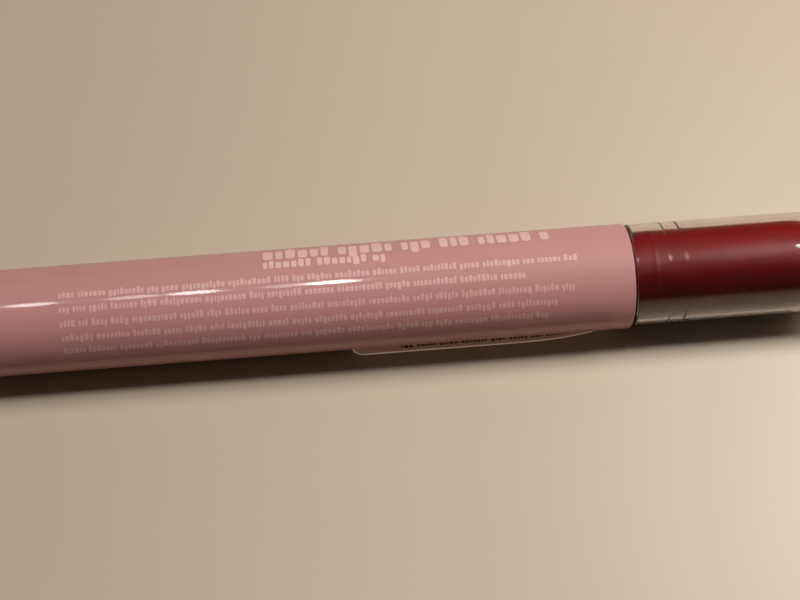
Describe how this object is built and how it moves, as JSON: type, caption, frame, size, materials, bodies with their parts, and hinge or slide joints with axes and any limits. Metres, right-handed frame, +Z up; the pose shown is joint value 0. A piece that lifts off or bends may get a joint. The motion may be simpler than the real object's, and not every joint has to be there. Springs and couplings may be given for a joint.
{
  "type": "lip gloss tube",
  "caption": "Slim round lip gloss pen: a long glossy barrel, a clear push-on cap over a coloured neck with a slanted soft tip, and a click button that screws a piston forward.",
  "frame": {"origin": "centre of the tube's length and width, on the surface that the tube lies on", "axes": "+X along the tube towards the closed end of the cap, +Z up"},
  "size_m": [0.1334, 0.0136, 0.0136],
  "materials": {
    "pink_shell": "high gloss lacquer over moulded plastic",
    "clear_cap": "clear polished plastic",
    "clear_film": "thin clear film",
    "berry_neck": "satin gloss moulded plastic",
    "milky_plastic": "milky moulded plastic",
    "white_acetal": "smooth moulded plastic",
    "flocked_tip": "short flock, wet with gloss",
    "gloss": "thick shiny liquid",
    "seal_rubber": "soft rubber",
    "spring_steel": "drawn wire"
  },
  "bodies": {
    "pen": {"barrel_shell": "pink_shell", "tail_ring": "pink_shell", "film_label": "clear_film", "front_neck": "berry_neck", "neck_seal_ring": "seal_rubber", "tip_holder": "milky_plastic", "applicator_tip": "flocked_tip", "feed_tube": "milky_plastic", "reservoir_tube": "milky_plastic", "gloss_fill": "gloss", "screw_nut": "white_acetal", "ratchet_ring": "white_acetal", "return_spring": "spring_steel"},
    "cap": {"cap_shell": "clear_cap"},
    "button": {"click_button": "pink_shell", "cam_core": "white_acetal"},
    "driver": {"drive_sleeve": "white_acetal"},
    "screw": {"feed_screw": "white_acetal"},
    "plunger": {"piston": "milky_plastic", "piston_seal_ring": "seal_rubber"}
  },
  "joints": [
    {"name": "cap_pull", "type": "slide", "parent": "pen", "child": "cap", "axis": [1, 0, 0], "range_m": [0, 0.05]},
    {"name": "button_click", "type": "slide", "parent": "pen", "child": "button", "axis": [1, 0, 0], "range_m": [0, 0.002], "stiffness_N_per_m": 900, "springref_m": -0.0015, "deforming": ["return_spring"]},
    {"name": "driver_turn", "type": "hinge", "parent": "pen", "child": "driver", "pos_m": [-0.036, 0, 0.0068], "axis": [1, 0, 0], "range_deg": [0, 1260]},
    {"name": "screw_feed", "type": "slide", "parent": "driver", "child": "screw", "axis": [1, 0, 0], "range_m": [0, 0.028]},
    {"name": "plunger_feed", "type": "slide", "parent": "pen", "child": "plunger", "axis": [1, 0, 0], "range_m": [0, 0.0278], "deforming": ["gloss_fill"]}
  ],
  "couplings": [
    {"joint": "driver_turn", "follows": "plunger_feed", "rad_per_m": 785.4},
    {"joint": "screw_feed", "follows": "plunger_feed", "ratio": 1}
  ]
}
